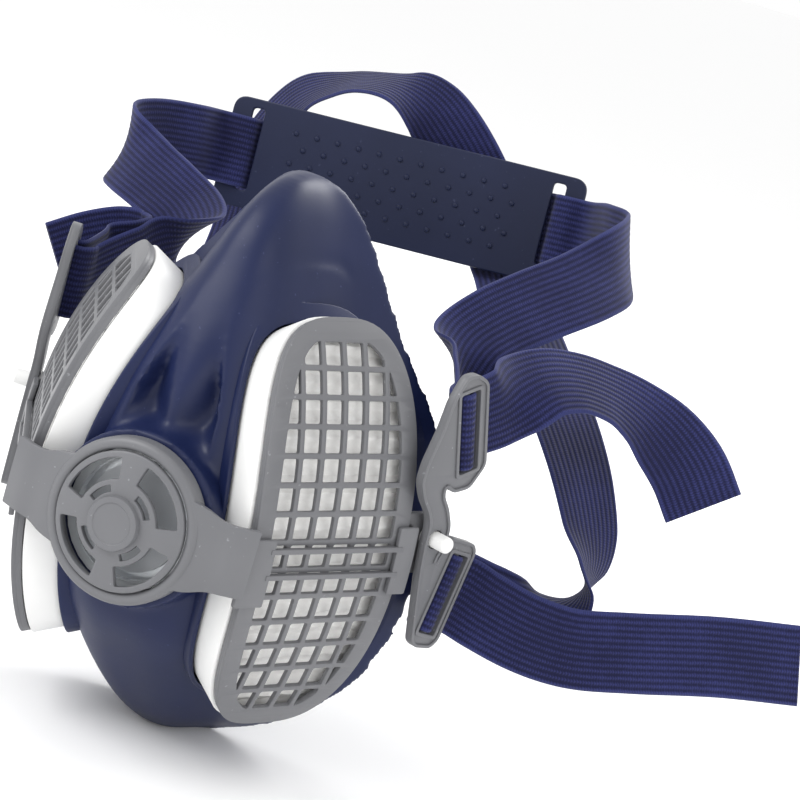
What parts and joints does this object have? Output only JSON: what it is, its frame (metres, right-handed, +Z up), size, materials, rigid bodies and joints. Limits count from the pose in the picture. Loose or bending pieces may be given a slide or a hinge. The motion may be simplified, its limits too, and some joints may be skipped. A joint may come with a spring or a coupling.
{
  "type": "half-mask respirator",
  "caption": "Half-mask respirator: soft facepiece, caged side filters, front exhale valve and a harness with a head cradle.",
  "frame": {"origin": "centre of the bottom of the whole object, harness included, with the mask upright on its chin", "axes": "+X towards the left-hand side of the wearer, -Y the way the wearer faces, +Z up"},
  "size_m": [0.2274, 0.1828, 0.1678],
  "materials": {
    "moulded_rubber": "satin",
    "grey_plastic": "satin",
    "white_plastic": "satin",
    "filter_fleece": "matte",
    "clear_plastic": "gloss",
    "silicone": "satin",
    "gasket_foam": "matte",
    "cradle_plastic": "satin",
    "webbing": "matte"
  },
  "bodies": {
    "root": {"facepiece": "moulded_rubber", "exhale_valve_seat": "clear_plastic", "valve_cover": "grey_plastic", "yoke": "grey_plastic", "left_filter_grille": "grey_plastic", "left_filter_frame": "white_plastic", "left_filter_media": "filter_fleece", "left_filter_gasket": "gasket_foam", "left_inhale_seat": "clear_plastic", "left_bracket_pin": "white_plastic", "right_filter_grille": "grey_plastic", "right_filter_frame": "white_plastic", "right_filter_media": "filter_fleece", "right_filter_gasket": "gasket_foam", "right_inhale_seat": "clear_plastic", "right_bracket_pin": "white_plastic", "head_cradle": "cradle_plastic", "upper_strap": "webbing", "lower_strap": "webbing"},
    "exhale_flap": {"exhale_flap": "silicone"},
    "left_inhale_flap": {"left_inhale_flap": "silicone"},
    "right_inhale_flap": {"right_inhale_flap": "silicone"},
    "left_strap_bracket": {"left_strap_bracket": "grey_plastic"},
    "right_strap_bracket": {"right_strap_bracket": "grey_plastic"}
  },
  "joints": [
    {"name": "exhale_lift", "type": "slide", "parent": "root", "child": "exhale_flap", "axis": [0, -1, 0], "range_m": [0, 0.0015]},
    {"name": "left_inhale_lift", "type": "slide", "parent": "root", "child": "left_inhale_flap", "axis": [-0.8655, 0.4997, -0.0349], "range_m": [0, 0.0015]},
    {"name": "right_inhale_lift", "type": "slide", "parent": "root", "child": "right_inhale_flap", "axis": [0.8655, 0.4997, -0.0349], "range_m": [0, 0.0015]},
    {"name": "left_bracket_swivel", "type": "hinge", "parent": "root", "child": "left_strap_bracket", "pos_m": [0.02446, -0.03631, 0.0709], "axis": [0.9272, -0.3746, 0], "range_deg": [-6, 6], "deforming": ["upper_strap", "lower_strap"]},
    {"name": "right_bracket_swivel", "type": "hinge", "parent": "root", "child": "right_strap_bracket", "pos_m": [-0.08807, -0.03631, 0.0709], "axis": [-0.9272, -0.3746, 0], "range_deg": [-4, 3], "deforming": ["upper_strap", "lower_strap"]}
  ]
}
